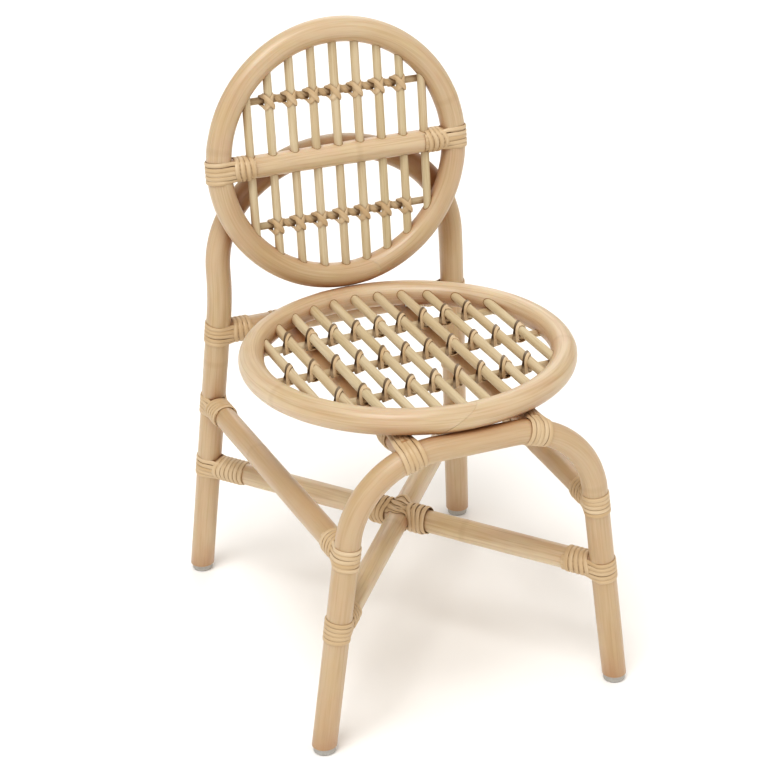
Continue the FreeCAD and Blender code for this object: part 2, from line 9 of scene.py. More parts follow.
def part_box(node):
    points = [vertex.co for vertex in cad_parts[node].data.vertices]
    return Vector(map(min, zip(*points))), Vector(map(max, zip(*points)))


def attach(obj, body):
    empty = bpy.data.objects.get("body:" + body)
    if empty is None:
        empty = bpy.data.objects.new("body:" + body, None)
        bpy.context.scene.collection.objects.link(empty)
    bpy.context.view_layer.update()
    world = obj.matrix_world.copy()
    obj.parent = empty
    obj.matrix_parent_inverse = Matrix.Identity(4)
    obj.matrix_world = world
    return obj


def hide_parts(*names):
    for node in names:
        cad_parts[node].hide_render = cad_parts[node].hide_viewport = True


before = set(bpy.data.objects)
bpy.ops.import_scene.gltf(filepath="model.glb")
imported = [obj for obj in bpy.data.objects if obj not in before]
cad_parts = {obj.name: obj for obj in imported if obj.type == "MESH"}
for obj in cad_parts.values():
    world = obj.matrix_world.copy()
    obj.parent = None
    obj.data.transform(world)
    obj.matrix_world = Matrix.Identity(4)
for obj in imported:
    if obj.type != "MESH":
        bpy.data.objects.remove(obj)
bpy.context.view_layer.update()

draw = random.Random(11)

# Sizes are in millimetres, and the meshes are written in metres
MM = 0.001
X = Vector((1, 0, 0))
Y = Vector((0, 1, 0))
Z = Vector((0, 0, 1))
SIDES = {"left": -1, "right": 1}

# Bends of the two arches, as the solids have them
BACK_LEAN = math.radians(5.0)
TOUCH_GAP = 0.3
REAR_HALF_W = 122.5
REAR_RISE = 105.0
REAR_CORNER_R = 95.0
REAR_CROWN_UP = 2.0
REAR_KNEE_DROP = 25.0
REAR_KNEE_R = 180.0
FRONT_POLE_R = 11.5
FRONT_HALF_W = 110.0
FRONT_CORNER_R = 84.0

# Slanted butt joint of a ring
SCARF_ANGLE = math.radians(32.0)  # of the cut to the pole
SCARF_TURN = math.radians(6.0)    # place round the ring, from its lowest or foremost point
SCARF_GAP = 0.1
SCARF_FADE = 70.0                 # length over which the sections come back to square

# Mesh steps
POLE_STEP = 2.5
POLE_SIDES = 32
BAR_STEP = 6.0
BAR_SIDES = 20
BEND_STEP = math.radians(3.0)
COIL_POINTS = 30          # in one turn
STRAP_POINTS = 26         # round a pole
TAIL_POINTS = 7           # along a rail
CROSSING_POINTS = 36
TIE_POINTS = 12           # over a slat, or under a rod
WRAP_POINTS = 24          # in one turn of the strip along a back rod
SHARP_ANGLE = math.radians(50.0)

# Reading of the solids
LONG_EDGE = 0.9           # share of a bar's longest edge that still counts as running along it
SEEK_STEP = 0.5           # steps along a rail when its crossing is looked for
END_PULL = 0.02           # of two places where a rail nears a pole, the one by the rail's end is taken
FRONT_PULL = 0.1          # and of two on the seat ring, the front one

# Rattan's own unevenness
JOINT_SPACING = 290.0     # one leaf joint of the cane to the next
JOINT_FIRST = (0.2, 0.9)  # nearest and furthest place of a pole's first joint, in spacings
JOINT_SPREAD = (0.75, 1.25)
JOINT_SWELL = 0.2
JOINT_HALF = 7.0
POLE_WAVER = 0.16         # slow change of a pole's radius
WAVER_SHORT = 37.0
WAVER_LONG = 91.0
WAVER_PHASE = 6.0
GRAIN_SHIFT = 5000.0      # length of grain from which a pole takes its stretch
PEEL_SHIFT = 900.0        # and a strip its own

# How honeyed each pole is beside the palest one: partly each pole's own tone, and partly painted shade,
# deepest on the rails and stretchers under the seat
HONEY_AND_SHADE = {"back_crossbar": 0.0, "rear_cross_half": 0.0, "front_cross_half": 0.0, "cross_stretcher": 0.2,
         "seat_ring": 0.25, "back_ring": 0.45, "rear_seat_rail": 0.5, "rear_arch": 0.65,
         "front_arch": 0.8, "left_seat_rail": 1.0, "right_seat_rail": 1.0,
         "left_side_stretcher": 1.0, "right_side_stretcher": 1.0}

# Counts of slats
SEAT_SLATS = 11
BACK_SLATS = 9

# Peel strips
STRAP_STRIPS = 5
STRAP_WIDTH = 4.2
STRAP_STEP = 4.3
STRAP_THICK = 1.2
STRAP_SQUEEZE = 0.72      # share of their spacing that the strips keep on the rail
STRAP_TURN = math.radians(82.0)   # round the pole, from the rail to where a strip leaves the pole
STRAP_AIR = 0.15          # more air on the pole than on the rail
STRAP_EASE = 10.0         # length in which the strips draw together
STRAP_UNEVEN = 0.2        # most that a strip lies aside of its place
STRAP_TILT = 0.5          # and most that one end rises and the other falls
TAIL_START = 1.0          # start of the tails past the pole's surface
TAIL_PAST = 0.8           # end of the tails past the last turn, in turns
COIL_TURNS = 4
SIDE_REAR_TURNS = 5       # side stretchers at the rear legs
HALF_REAR_TURNS = 7       # halves of the split stretcher at their legs
HALF_FRONT_TURNS = 5
COIL_TUCK = 0.25          # part of a turn in which an end is tucked under
COIL_HUG = 0.6            # how far the first turn follows the pole's roundness
HUG_MOST = 0.95           # share of the pole's radius over which it does
COIL_WIDTH = 4.4
COIL_STEP = 4.5
COIL_BACK = 0.2           # first turn past the pole that the rail meets
RING_CLEAR = 14.0         # first turn past the seat ring, where it lies on the rail
CROSSING_TURNS = 4
CROSSING_WIDTH = 42.0     # strips side by side over the whole rail, measured along it
CROSSING_LAYERS = [(9, 0.15), (4, -0.65)]   # strips, and their slant from middle to end in rail radii
CROSSING_DRAW = 0.58      # share of their spacing that the strips keep on the half rails
CROSSING_UNEVEN = 0.7     # most that a strip lies aside of its place
CROSSING_EDGE_SHADE = 1.07     # its edges are darker than those of the other lashings: painted shade of the deep gaps between the crossing's strips
CROSSING_SMOOTH = 3       # passes of smoothing on a strip's line
CROSSING_FACE_SMOOTH = 4  # and on the way that it faces
PEEL_CLEAR = 0.08         # air under a strip
SEAT_TIE_WIDTH = 6.0
BACK_TIE_WIDTH = 5.0
TIE_THICK = 1.3
TIE_SHADE_FADE = 0.07           # painted shadow lost from one side of a tie to the other
TIE_RISE = 1.5            # extra length of a back tie along the slat
TIE_TWIST = math.radians(20.0)
TIE_LOOSE = 0.6           # most air under a seat tie
TIE_SLIP = 1.2            # most that a seat tie lies behind its rod's middle
TIE_LEAN = (0.9, 1.7)     # least and most lean of a seat tie, where 1 spans the rod
TIE_LIFT = (0.2, 1.0)     # least and most share of the air
TIE_TURN = (0.4, 1.0)     # least and most share of the twist
TIE_PAIR = 2.6            # distance of a doubled seat tie's second strip from the crossing
PAIR_EVERY = 3            # one seat tie in three is doubled, from the second on
PAIR_FIRST = 1
PAIR_LEAN = (-0.5, 0.2)
PAIR_LIFT = 0.2
TIE_OVER = 0.6            # second strip of a back tie over the first, in strip thicknesses

# Section of a strip: across, height and how dark it is painted there, where 1 is darkest. A strap's dark
# edges are partly the cut edges' own stain and partly painted shade of the gaps between strips; most of one
# half of a seat tie's face is painted shadow, as of a gap between the loop and its slat.
STRAP_SECTION = [(0.5, 0.0, 0.88), (-0.5, 0.0, 0.88), (-0.5, 0.42, 0.88), (-0.36, 0.8, 0.6), (0.0, 1.0, 0.0),
                 (0.36, 0.8, 0.6), (0.5, 0.42, 0.88)]
TIE_SECTION_SHADED = [(0.5, 0.0, 0.97), (-0.5, 0.0, 1.0), (-0.5, 0.6, 1.0), (-0.06, 0.98, 1.0), (0.02, 0.99, 0.8),
               (0.14, 1.0, 0.0), (0.4, 0.85, 0.7), (0.5, 0.5, 0.95)]

# Painted shade round the drilled sockets
RIM_IN = 0.25             # rim inside and outside the slat's surface
RIM_OUT = 0.5
RIM_LIFT = 0.06           # above and below the pole's surface
RIM_DEPTH = 0.4
RIM_POINTS = 24


def box(node):
    low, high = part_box(node)
    return low / MM, high / MM


def row(count, step):
    """Evenly spaced places about zero."""
    return [(i - (count - 1) / 2) * step for i in range(count)]


def ease(t):
    t = min(1.0, max(0.0, t))
    return t * t * (3 - 2 * t)


class Bar:
    """Straight round bar, read from its solid: the longest edges run along it."""

    def __init__(self, node):
        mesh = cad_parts[node].data
        places = [v.co / MM for v in mesh.vertices]
        runs = [places[e.vertices[1]] - places[e.vertices[0]] for e in mesh.edges]
        longest = max(runs, key=lambda run: run.length)
        total = Vector()
        for run in runs:
            if run.length > LONG_EDGE * longest.length:
                total += run if run.dot(longest) > 0 else -run
        self.way = total.normalized()
        self.side = self.way.orthogonal().normalized()
        other = self.way.cross(self.side)
        spans = []
        for axis in (self.way, self.side, other):
            reach = [p.dot(axis) for p in places]
            spans.append((min(reach), max(reach)))
        across = self.side * (sum(spans[1]) / 2) + other * (sum(spans[2]) / 2)
        self.start = across + self.way * spans[0][0]
        self.end = across + self.way * spans[0][1]
        self.r = (spans[1][1] - spans[1][0]) / 2

    def nearest(self, place):
        return self.start + self.way * (place - self.start).dot(self.way)

    def path(self):
        return [self.start, self.end]


# Paths of the bent poles

def even(points, step):
    """The same line with points at even steps."""
    lengths = [(b - a).length for a, b in zip(points, points[1:])]
    count = max(2, round(sum(lengths) / step))
    spacing = sum(lengths) / count
    out = [points[0]]
    left = spacing
    for a, b, length in zip(points, points[1:], lengths):
        at = 0.0
        while at + left <= length - 1e-6:
            at += left
            out.append(a.lerp(b, at / length))
            left = spacing
        left -= length - at
    out = out[:count]
    out.append(points[-1])
    return out


def bend(before, corner, after, radius):
    """Points of the arc that rounds a corner."""
    back = (before - corner).normalized()
    ahead = (after - corner).normalized()
    turn = math.pi - back.angle(ahead)
    centre = corner + (back + ahead).normalized() * (radius / math.cos(turn / 2))
    start = corner + back * (radius * math.tan(turn / 2)) - centre
    axis = ahead.cross(back)
    count = max(2, round(turn / BEND_STEP))
    return [centre + Matrix.Rotation(turn * i / count, 3, axis) @ start for i in range(count + 1)]


back_low, back_high = box("back_ring")
seat_low, seat_high = box("seat_ring")
POLE_R = (seat_high.z - seat_low.z) / 2
SEAT_CENTRE = (seat_low + seat_high) / 2
SEAT_RING_R = (seat_high.x - seat_low.x) / 2 - POLE_R
BACK_CENTRE = (back_low + back_high) / 2
BACK_RING_R = (back_high.x - back_low.x) / 2 - POLE_R
BACK_UP = Vector((0, math.sin(BACK_LEAN), math.cos(BACK_LEAN)))
BACK_REAR = Vector((0, math.cos(BACK_LEAN), -math.sin(BACK_LEAN)))
front_low, front_high = box("front_arch")


def foot(end, side):
    """Top of a foot glide, where the leg's pole is cut off."""
    node = "%s_%s_foot_glide" % (end, side)
    low, high = box(node)
    leg_low = box(end + "_arch")[0]
    return Vector(((low.x + high.x) / 2, (low.y + high.y) / 2, leg_low.z))


def rear_half(side):
    """Right or left half of the rear arch, from its foot to the crown."""
    centre = BACK_CENTRE + BACK_REAR * (2 * POLE_R + TOUCH_GAP)
    sign = SIDES[side]

    def on_plane(x, up):
        return centre + X * (sign * x) + BACK_UP * up

    shoulder_up = REAR_CROWN_UP - REAR_RISE
    run = REAR_HALF_W - REAR_CORNER_R
    crown_r = (run ** 2 + REAR_RISE ** 2 - REAR_CORNER_R ** 2) / (2 * (REAR_RISE - REAR_CORNER_R))
    join = math.atan2(crown_r - REAR_RISE, run)
    base = foot("rear", side)
    knee = on_plane(REAR_HALF_W, shoulder_up - REAR_KNEE_DROP)
    points = [base] + bend(base, knee, on_plane(REAR_HALF_W, shoulder_up), REAR_KNEE_R)
    steps = math.ceil(join / BEND_STEP)
    for i in range(steps + 1):
        angle = join * i / steps
        points.append(on_plane(run + REAR_CORNER_R * math.cos(angle),
                               shoulder_up + REAR_CORNER_R * math.sin(angle)))
    rest = math.pi / 2 - join
    steps = math.ceil(rest / BEND_STEP)
    for i in range(1, steps + 1):
        angle = join + rest * i / steps
        points.append(on_plane(crown_r * math.cos(angle),
                               REAR_CROWN_UP - crown_r + crown_r * math.sin(angle)))
    return points


def rear_arch_path():
    return rear_half("left") + rear_half("right")[-2::-1]


def front_arch_path():
    top_y = front_low.y + FRONT_POLE_R
    top_z = front_high.z - FRONT_POLE_R
    left, right = foot("front", "left"), foot("front", "right")
    left_corner = Vector((-FRONT_HALF_W, top_y, top_z))
    right_corner = Vector((FRONT_HALF_W, top_y, top_z))
    return ([left] + bend(left, left_corner, right_corner, FRONT_CORNER_R)
            + bend(left_corner, right_corner, right, FRONT_CORNER_R) + [right])


def ring_path(centre, first, second, radius):
    """Circle that starts and ends where its two ends are joined."""
    count = round(2 * math.pi * radius / POLE_STEP)
    points = []
    for i in range(count + 1):
        angle = 2 * math.pi * i / count
        points.append(centre + (first * math.cos(angle) + second * math.sin(angle)) * radius)
    return points


# Meshes

class Skin:
    """Swept sections that become one piece, with the place that each point had before bending."""

    def __init__(self):
        self.points = []
        self.faces = []
        self.unbent = []
        self.stain_and_shade = []
        self.tint = []

    def sweep(self, sections, unbent, stain_and_shade, tint, loop=False):
        """Closed sections of equal size, joined in order: capped at both ends, or joined in a loop."""
        first = len(self.points)
        size = len(sections[0])
        for section, flat, marks in zip(sections, unbent, stain_and_shade):
            self.points += section
            self.unbent += flat
            self.stain_and_shade += marks
            self.tint += [tint] * size
        last = first + (len(sections) - 1) * size
        starts = list(range(first, last + 1, size))
        pairs = list(zip(starts, starts[1:]))
        if loop:
            pairs.append((last, first))
        else:
            self.faces.append(tuple(range(first + size - 1, first - 1, -1)))
            self.faces.append(tuple(range(last, last + size)))
        for a, b in pairs:
            for j in range(size):
                k = (j + 1) % size
                self.faces.append((a + j, a + k, b + k, b + j))

    def build(self, name, material, slot, *nodes):
        mesh = bpy.data.meshes.new(name)
        mesh.from_pydata([p * MM for p in self.points], [], self.faces)
        places = mesh.attributes.new("unbent", "FLOAT_VECTOR", "POINT")
        places.data.foreach_set("vector", [c * MM for p in self.unbent for c in p])
        # Per point: darkness of stains and of painted shade, and a tint
        for word, values in (("stain_and_shade", self.stain_and_shade), ("tint", self.tint)):
            layer = mesh.attributes.new(word, "FLOAT", "POINT")
            layer.data.foreach_set("value", values)
        mesh.materials.append(material)
        mesh.shade_smooth()
        mesh.set_sharp_from_angle(angle=SHARP_ANGLE)
        piece = bpy.data.objects.new(name, mesh)
        bpy.context.scene.collection.objects.link(piece)
        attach(piece, "root")
        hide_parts(*nodes)


def ways(points, loop=False):
    """Direction of a line at each of its points."""
    last = len(points) - 1
    if loop:
        return [(points[(i + 1) % (last + 1)] - points[i - 1]).normalized() for i in range(last + 1)]
    return [(points[min(i + 1, last)] - points[max(i - 1, 0)]).normalized() for i in range(last + 1)]


def add_pole(skin, points, radius, flat_way, tint, sides=POLE_SIDES, scarf=0.0, level=False):
    """Rattan along a line: its radius wavers, and it swells a little at each leaf joint."""
    lengths = [0.0]
    for a, b in zip(points, points[1:]):
        lengths.append(lengths[-1] + (b - a).length)
    whole = lengths[-1]
    shift = draw.uniform(0, GRAIN_SHIFT)
    waver = draw.uniform(0, WAVER_PHASE)
    joints = []
    at = draw.uniform(*JOINT_FIRST) * JOINT_SPACING
    while at < whole:
        joints.append(at)
        at += JOINT_SPACING * draw.uniform(*JOINT_SPREAD)
    sections, unbent, stain_and_shade = [], [], []
    for p, way, s in zip(points, ways(points), lengths):
        u = (flat_way - way * flat_way.dot(way)).normalized()
        v = way.cross(u)
        near = max((math.exp(-((s - j) / JOINT_HALF) ** 2) for j in joints), default=0.0)
        slow = math.sin(s / WAVER_SHORT + waver) * math.sin(s / WAVER_LONG + 2 * waver)
        r = radius + JOINT_SWELL * near + POLE_WAVER * slow
        section, flat = [], []
        for j in range(sides):
            angle = 2 * math.pi * j / sides
            cos, sin = math.cos(angle), math.sin(angle)
            slide = 0.0
            if scarf:
                fade = max(0.0, 1 - min(s, whole - s) / SCARF_FADE) ** 2
                slide = cos * r * scarf * fade
                slide += (SCARF_GAP / 2) * (fade if s < whole / 2 else -fade)
            place = p + (u * cos + v * sin) * r + way * slide
            if level and (s == 0 or s == whole):
                place -= way * ((place.z - p.z) / way.z)
            section.append(place)
            flat.append(Vector((r * cos, r * sin, s + slide + shift)))
        sections.append(section)
        unbent.append(flat)
        stain_and_shade.append([near] * sides)
    skin.sweep(sections, unbent, stain_and_shade, tint)


def smooth(values, closed, passes=2):
    """Each value drawn towards its neighbours, with the ends of an open line kept."""
    for _ in range(passes):
        count = len(values)
        out = list(values)
        for i in range(0 if closed else 1, count if closed else count - 1):
            out[i] = values[i - 1] * 0.25 + values[i] * 0.5 + values[(i + 1) % count] * 0.25
        values = out
    return values


def add_strip(skin, points, normals, width, thick, section=STRAP_SECTION, stain_and_shade_scale=None, loop=False):
    """Flat strip of peel with a crowned face, laid on a surface with these normals."""
    stain_and_shade_scale = stain_and_shade_scale or [1.0] * len(points)
    at = draw.uniform(0, PEEL_SHIFT)
    sections, unbent, stain_and_shade = [], [], []
    last = points[0]
    for p, way, normal, share in zip(points, ways(points, loop), normals, stain_and_shade_scale):
        at += (p - last).length
        last = p
        across = way.cross(normal).normalized()
        out = across.cross(way)
        sections.append([p + across * (a * width) + out * (b * thick) for a, b, _ in section])
        unbent.append([Vector((a * width, b * thick, at)) for a, b, _ in section])
        # Darkness of each point: partly the cut edges' stain, partly painted shade, and on seat ties a
        # painted shadow
        stain_and_shade.append([darkness * share for _, _, darkness in section])
    skin.sweep(sections, unbent, stain_and_shade, draw.random(), loop)


# Lashings

def add_coil(skin, at, way, side, rail_r, pole_r, first, turns):
    """Turns of peel round a rail, raised over the strap's tails, the first ones bent to hug the pole."""
    up = way.cross(side)
    underside = math.atan2(-up.z, -side.z)
    points, normals = [], []
    for i in range(round(turns * COIL_POINTS) + 1):
        turn = i / COIL_POINTS
        angle = 2 * math.pi * turn + underside
        normal = side * math.cos(angle) + up * math.sin(angle)
        tuck = ease(min(turn, turns - turn) / COIL_TUCK)
        tails = STRAP_THICK * math.cos(angle) ** 2
        lift = (PEEL_CLEAR + tails) * tuck - STRAP_THICK * (1 - tuck)
        aside = min(HUG_MOST * pole_r, rail_r * abs(math.cos(angle)))
        hug = COIL_HUG * (pole_r - math.sqrt(pole_r ** 2 - aside ** 2)) * (1 - turn / turns)
        points.append(at + way * (first + COIL_STEP * (turn + 0.5) - hug) + normal * (rail_r + lift))
        normals.append(normal)
    add_strip(skin, points, normals, COIL_WIDTH, STRAP_THICK)


def add_strap(skin, pole_at, pole_way, pole_r, rail_at, rail_way, rail_r, tail):
    """Strips side by side round a pole, whose tails lie along both sides of the rail that meets it."""
    z = pole_way.normalized()
    y = z.cross(rail_way).normalized()
    x = y.cross(z)
    up = rail_way.cross(y)
    near = pole_r + TAIL_START
    runs = [near + (tail - near) * i / TAIL_POINTS for i in range(TAIL_POINTS + 1)]
    for off in row(STRAP_STRIPS, STRAP_STEP):
        off += draw.uniform(-STRAP_UNEVEN, STRAP_UNEVEN)
        tilt = draw.uniform(-STRAP_TILT, STRAP_TILT)
        points, normals = [], []

        def on_rail(run, side):
            drawn = 1 - (1 - STRAP_SQUEEZE) * ease((run - pole_r) / STRAP_EASE)
            high = off * drawn
            normal = y * (side * math.sqrt(1 - (high / rail_r) ** 2)) + up * (high / rail_r)
            points.append(rail_at + rail_way * run + normal * (rail_r + PEEL_CLEAR))
            normals.append(normal)

        for run in reversed(runs):
            on_rail(run, 1)
        for i in range(STRAP_POINTS + 1):
            angle = STRAP_TURN + (2 * math.pi - 2 * STRAP_TURN) * i / STRAP_POINTS
            normal = x * math.cos(angle) + y * math.sin(angle)
            rise = off + tilt * math.cos(math.pi * i / STRAP_POINTS)
            points.append(pole_at + normal * (pole_r + PEEL_CLEAR + STRAP_AIR) + z * rise)
            normals.append(normal)
        for run in runs:
            on_rail(run, -1)
        add_strip(skin, smooth(points, False), smooth(normals, False), STRAP_WIDTH, STRAP_THICK)


def meet(path, rail, near):
    """Place and direction of a pole's line where a rail's line passes nearest to it."""
    def miss(i):
        return (path[i] - rail.nearest(path[i])).length + END_PULL * (path[i] - near).length

    best = min(range(1, len(path) - 1), key=miss)
    return path[best], (path[best + 1] - path[best - 1]).normalized()


def lash(skin, path, pole_r, rail, end, turns, first=None):
    """Strap and turns where one end of a rail meets a pole."""
    near, far = (rail.start, rail.end) if end == "start" else (rail.end, rail.start)
    pole_at, pole_way = meet(path, rail, near)
    rail_way = (far - near).normalized()
    rail_at = rail.nearest(pole_at)
    first = pole_r + COIL_BACK if first is None else first
    tail = first + COIL_STEP * (turns + TAIL_PAST)
    add_strap(skin, pole_at, pole_way, pole_r, rail_at, rail_way, rail.r, tail)
    side = pole_way.cross(rail_way).normalized()
    add_coil(skin, rail_at, rail_way, side, rail.r, pole_r, first, turns)


def add_mat_strip(skin, middle, way, along, rail_r, face, off, slant, over):
    """Strip across a crossing, on the half rails or on the whole rail, wherever one stands higher."""
    reach = rail_r + COIL_BACK + COIL_STEP * (CROSSING_TURNS - 1)
    points, normals = [], []
    for i in range(CROSSING_POINTS + 1):
        run = reach * (2 * i / CROSSING_POINTS - 1)
        away = ease(abs(run) / rail_r)
        drawn = off * (1 - (1 - CROSSING_DRAW) * away) + slant * rail_r * run / reach
        round_half = rail_r * math.sin(drawn / rail_r)
        place = way * run + along * (drawn * (1 - away) + round_half * away)
        from_half = place - way * place.dot(way)
        from_whole = place - along * place.dot(along)
        nearer = min(from_half, from_whole, key=lambda off_axis: off_axis.length)
        high = face * math.sqrt(max(0.0, rail_r ** 2 - nearer.length_squared))
        normal = (nearer + high).normalized()
        lift = PEEL_CLEAR + over * ease(2 * (1 - abs(run) / reach))
        points.append(middle + place + high + normal * lift)
        normals.append(normal)
    add_strip(skin, smooth(points, False, CROSSING_SMOOTH), smooth(normals, False, CROSSING_FACE_SMOOTH),
              STRAP_WIDTH, STRAP_THICK, stain_and_shade_scale=[CROSSING_EDGE_SHADE] * len(points))


def add_crossing(skin, whole, half_rail):
    """Turns on two half rails beside the whole rail that they butt on, and strips over and under it."""
    way = half_rail.way if half_rail.way.y < 0 else -half_rail.way
    middle = min(even(whole.path(), SEEK_STEP), key=lambda p: (p - half_rail.nearest(p)).length)
    along = whole.way if whole.way.dot(Z.cross(way)) > 0 else -whole.way
    for sign in (-1, 1):
        add_coil(skin, middle, way * sign, Z, whole.r + STRAP_THICK, whole.r, whole.r + COIL_BACK,
                 CROSSING_TURNS)
        for layer, (count, slant) in enumerate(CROSSING_LAYERS):
            for off in row(count, CROSSING_WIDTH / count):
                off += draw.uniform(-CROSSING_UNEVEN, CROSSING_UNEVEN)
                add_mat_strip(skin, middle, way, along, whole.r, Z * sign, off, slant, layer * STRAP_THICK)


def nearer_end(rail, path):
    gaps = {}
    for end, place in (("start", rail.start), ("end", rail.end)):
        gaps[end] = min((p - place).length for p in path)
    return min(gaps, key=gaps.get)


def add_tie(skin, slat_at, rod_at, slat_way, rod_way, face_way, slat_r, rod_r, lean, width, section,
            lift=0.0, rise=0.0, twist=0.0):
    """Loop of peel on the diagonal of a crossing, over the slat and under the rod."""
    reach = slat_r + TIE_THICK
    depth = rod_r + TIE_THICK + rise
    points, normals, stain_and_shade_scale = [], [], []
    for i in range(TIE_POINTS + 1):
        # Painted shadow, fading a little from one side of the slat to the other
        stain_and_shade_scale.append(1.0 - TIE_SHADE_FADE * i / TIE_POINTS)
        angle = math.pi * (i / TIE_POINTS - 0.5)
        normal = rod_way * math.sin(angle) + face_way * math.cos(angle)
        points.append(slat_at + normal * (slat_r + PEEL_CLEAR + lift)
                      + slat_way * (lean * depth * math.sin(angle)))
        normals.append(normal)
    for i in range(TIE_POINTS + 1):
        stain_and_shade_scale.append(1.0 - TIE_SHADE_FADE)
        angle = math.pi * (0.5 - i / TIE_POINTS)
        normal = slat_way * (lean * math.sin(angle)) - face_way * math.cos(angle)
        points.append(rod_at + normal * (rod_r + PEEL_CLEAR + lift)
                      + rod_way * (reach * math.sin(angle)))
        normals.append(normal)
    points = smooth(points, True)
    normals = [n.normalized() - slat_way * math.tan(twist) for n in smooth(normals, True)]
    add_strip(skin, points, normals, width, TIE_THICK, section, stain_and_shade_scale, loop=True)


# Materials

NOISE_LOW = 0.3           # between these two a noise goes from one of its ends to the other
NOISE_HIGH = 0.7
NOISE_ROUGHNESS = 0.55
OPEN = 0.95               # share of open sky at which the painted shade starts, and at which it is deepest
CLOSED = 0.25
SHADE_SAMPLES = 6


def colour(hex_code):
    """sRGB hex to linear colour."""
    parts = [int(hex_code[i:i + 2], 16) / 255 for i in (1, 3, 5)]
    linear = [c / 12.92 if c <= 0.04045 else ((c + 0.055) / 1.055) ** 2.4 for c in parts]
    return (*linear, 1.0)


def add(tree, kind, inputs=None, **settings):
    """Node of a kind, with its settings, and its inputs set or linked by name or number."""
    made = tree.nodes.new(kind)
    for word, value in settings.items():
        setattr(made, word, value)
    for socket, value in (inputs or {}).items():
        if isinstance(value, bpy.types.NodeSocket):
            tree.links.new(value, made.inputs[socket])
        else:
            made.inputs[socket].default_value = value
    return made


def new_material(name):
    made = bpy.data.materials.new(name)
    made.use_nodes = True
    tree = made.node_tree
    return made, tree, tree.nodes["Principled BSDF"]


def per_metre(millimetres):
    return 1000.0 / millimetres


def grain(tree, width, length, detail=2.0):
    """Streaks along the cane, this wide and long in millimetres."""
    place = add(tree, "ShaderNodeAttribute", attribute_name="unbent")
    scale = (per_metre(width), per_metre(width), per_metre(length))
    flat = add(tree, "ShaderNodeVectorMath", {0: place.outputs["Vector"], 1: scale}, operation="MULTIPLY")
    noise = add(tree, "ShaderNodeTexNoise", {"Vector": flat.outputs[0], "Scale": 1.0, "Detail": detail,
                                            "Roughness": NOISE_ROUGHNESS})
    return noise.outputs["Fac"]


def lay(tree, base, tone, value, low=NOISE_LOW, high=NOISE_HIGH, most=1.0):
    """Tone laid over a base colour: none where the value is low, and this share of it where it is high."""
    share = add(tree, "ShaderNodeMapRange", {"Value": value, "From Min": low, "From Max": high,
                                            "To Max": most})
    mixed = add(tree, "ShaderNodeMix", {0: share.outputs[0], 6: base, 7: tone}, data_type="RGBA")
    return mixed.outputs[2]


def painted_shade(tree, base, shade_tone, reach, most):
    """Painted shade: colour drawn towards a darker tone where another surface lies within this many
    millimetres.
    """
    near = add(tree, "ShaderNodeAmbientOcclusion", {"Distance": reach * MM}, samples=SHADE_SAMPLES)
    return lay(tree, base, shade_tone, near.outputs["AO"], OPEN, CLOSED, most)


def dress(tree, shader, base, pattern, smooth_end, rough_end, relief=0.0):
    """Base colour, with roughness between two ends and a relief in millimetres that follow one pattern."""
    tree.links.new(base, shader.inputs["Base Color"])
    rough = add(tree, "ShaderNodeMapRange", {"Value": pattern, "From Min": NOISE_LOW, "From Max": NOISE_HIGH,
                                            "To Min": smooth_end, "To Max": rough_end})
    tree.links.new(rough.outputs[0], shader.inputs["Roughness"])
    if relief:
        bump = add(tree, "ShaderNodeBump", {"Height": pattern, "Distance": relief * MM})
        tree.links.new(bump.outputs[0], shader.inputs["Normal"])


def peeled_rattan_pole():
    # Peeled and sanded cane under a thin satin lacquer: pale straw with long honey streaks, darker at
    # each leaf joint. Its real fibres, about 0.5 mm wide, are drawn 1.5 mm wide so that they show.
    made, tree, shader = new_material("peeled_rattan_pole")
    fibre = grain(tree, width=1.5, length=60.0)
    streak = grain(tree, width=7.0, length=140.0)
    patch = grain(tree, width=26.0, length=180.0, detail=1.0)
    stain_and_shade = add(tree, "ShaderNodeAttribute", attribute_name="stain_and_shade").outputs["Fac"]
    tint = add(tree, "ShaderNodeAttribute", attribute_name="tint").outputs["Fac"]
    base = lay(tree, colour("#d0ba98"), colour("#dccbae"), patch)
    blush = grain(tree, width=16.0, length=42.0)
    base = lay(tree, base, colour("#cba98c"), blush, 0.45, 0.7, most=0.45)
    straw = grain(tree, width=20.0, length=70.0)
    base = lay(tree, base, colour("#cbb685"), straw, 0.5, 0.7, most=0.5)
    base = lay(tree, base, colour("#b08e63"), streak, 0.5, 0.75, most=0.5)
    base = lay(tree, base, colour("#a58255"), fibre, 0.48, 0.78, most=0.5)
    # Honey tone of each pole: partly its own, partly painted shade for the poles that lie in shade
    base = lay(tree, base, colour("#b3936a"), tint, 0.0, 1.0, most=0.7)
    base = lay(tree, base, colour("#9a7748"), stain_and_shade, 0.7, 1.0, most=0.16)
    # Painted shade: warm dark brown within 45 mm of other surfaces, under and between parts
    base = painted_shade(tree, base, colour("#9a6032"), reach=45.0, most=0.8)
    dress(tree, shader, base, fibre, smooth_end=0.4, rough_end=0.52, relief=0.08)
    shader.inputs["IOR"].default_value = 1.47
    shader.inputs["Subsurface Weight"].default_value = 0.25
    shader.inputs["Subsurface Radius"].default_value = (1.0, 0.42, 0.16)
    shader.inputs["Subsurface Scale"].default_value = 3.0 * MM
    shader.inputs["Coat Weight"].default_value = 0.8
    shader.inputs["Coat Roughness"].default_value = 0.42
    return made


